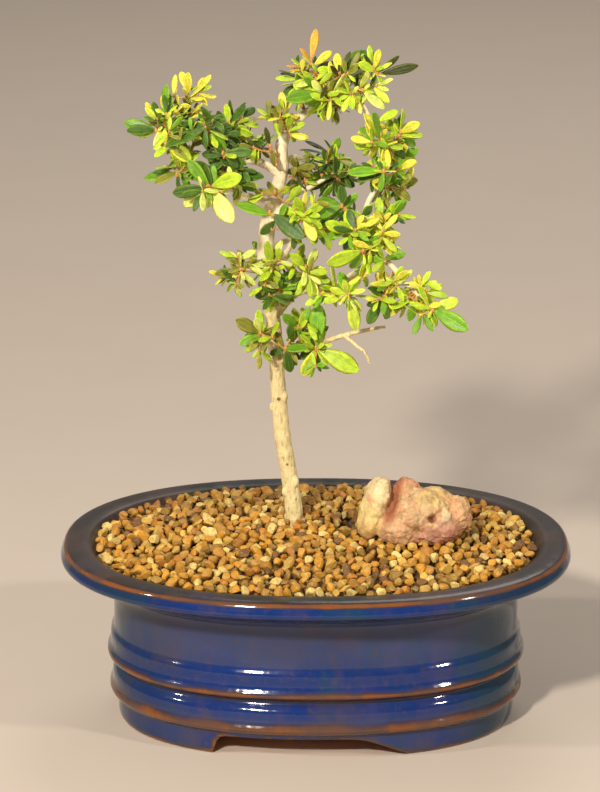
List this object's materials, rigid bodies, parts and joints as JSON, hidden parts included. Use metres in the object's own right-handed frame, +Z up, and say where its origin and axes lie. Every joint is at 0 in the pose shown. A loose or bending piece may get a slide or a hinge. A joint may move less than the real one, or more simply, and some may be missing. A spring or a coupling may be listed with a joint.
{
  "type": "potted bonsai tree",
  "caption": "Small upright boxwood bonsai with a sparse leafy crown in an oval blue glazed pot with gravel and a rock.",
  "frame": {"origin": "under the middle of the pot, on the surface that it stands on", "axes": "+X along the pot's length to the right, -Y to the side that is looked at, +Z up"},
  "size_m": [0.2032, 0.1578, 0.2728],
  "materials": {
    "glaze": "glossy blue glaze that breaks brown on its edges",
    "plastic": "matte",
    "soil": "damp bark-based potting mix",
    "gravel": "dry, cream to orange-brown",
    "rock": "weathered, cream to pink",
    "bark": "pale smooth bark",
    "leaf": "glossy leaf"
  },
  "bodies": {
    "root": {"pot": "glaze", "drain_mesh_left": "plastic", "drain_mesh_right": "plastic", "soil": "soil", "gravel": "gravel", "rock": "rock", "wood": "bark", "spray_left_tip": "leaf", "spray_left_upright": "leaf", "spray_left_bright": "leaf", "spray_left_low": "leaf", "spray_left_rosette": "leaf", "spray_left_tuft": "leaf", "spray_left_dark": "leaf", "spray_left_long": "leaf", "spray_left_inner": "leaf", "spray_left_gap": "leaf", "spray_left_under": "leaf", "spray_left_shade": "leaf", "spray_left_back": "leaf", "spray_collar": "leaf", "spray_bud": "leaf", "spray_top_low": "leaf", "spray_top_left": "leaf", "spray_top_crown": "leaf", "spray_top_mid": "leaf", "spray_top_right": "leaf", "spray_top_under": "leaf", "spray_top_back": "leaf", "spray_right_yellow": "leaf", "spray_right_far": "leaf", "spray_right_pair": "leaf", "spray_right_fan": "leaf", "spray_right_edge": "leaf", "spray_right_green": "leaf", "spray_centre_dark": "leaf", "spray_centre_thin": "leaf", "spray_centre_green": "leaf", "spray_centre_mid": "leaf", "spray_heart": "leaf", "spray_front_long": "leaf", "spray_branch_dark": "leaf", "spray_neck": "leaf", "spray_green_big": "leaf", "spray_yellow_post": "leaf", "spray_mid_left": "leaf", "spray_trunk_front": "leaf", "spray_mid_dark": "leaf", "spray_mid_centre": "leaf", "spray_fork_pale": "leaf", "spray_hang": "leaf", "spray_arm_tip": "leaf", "spray_arm_mid": "leaf", "spray_low_rosette": "leaf", "spray_low_dark": "leaf", "spray_low_green": "leaf", "spray_stub_leaf": "leaf", "spray_back_high": "leaf", "spray_back_mid": "leaf", "spray_back_low": "leaf"}
  },
  "joints": []
}
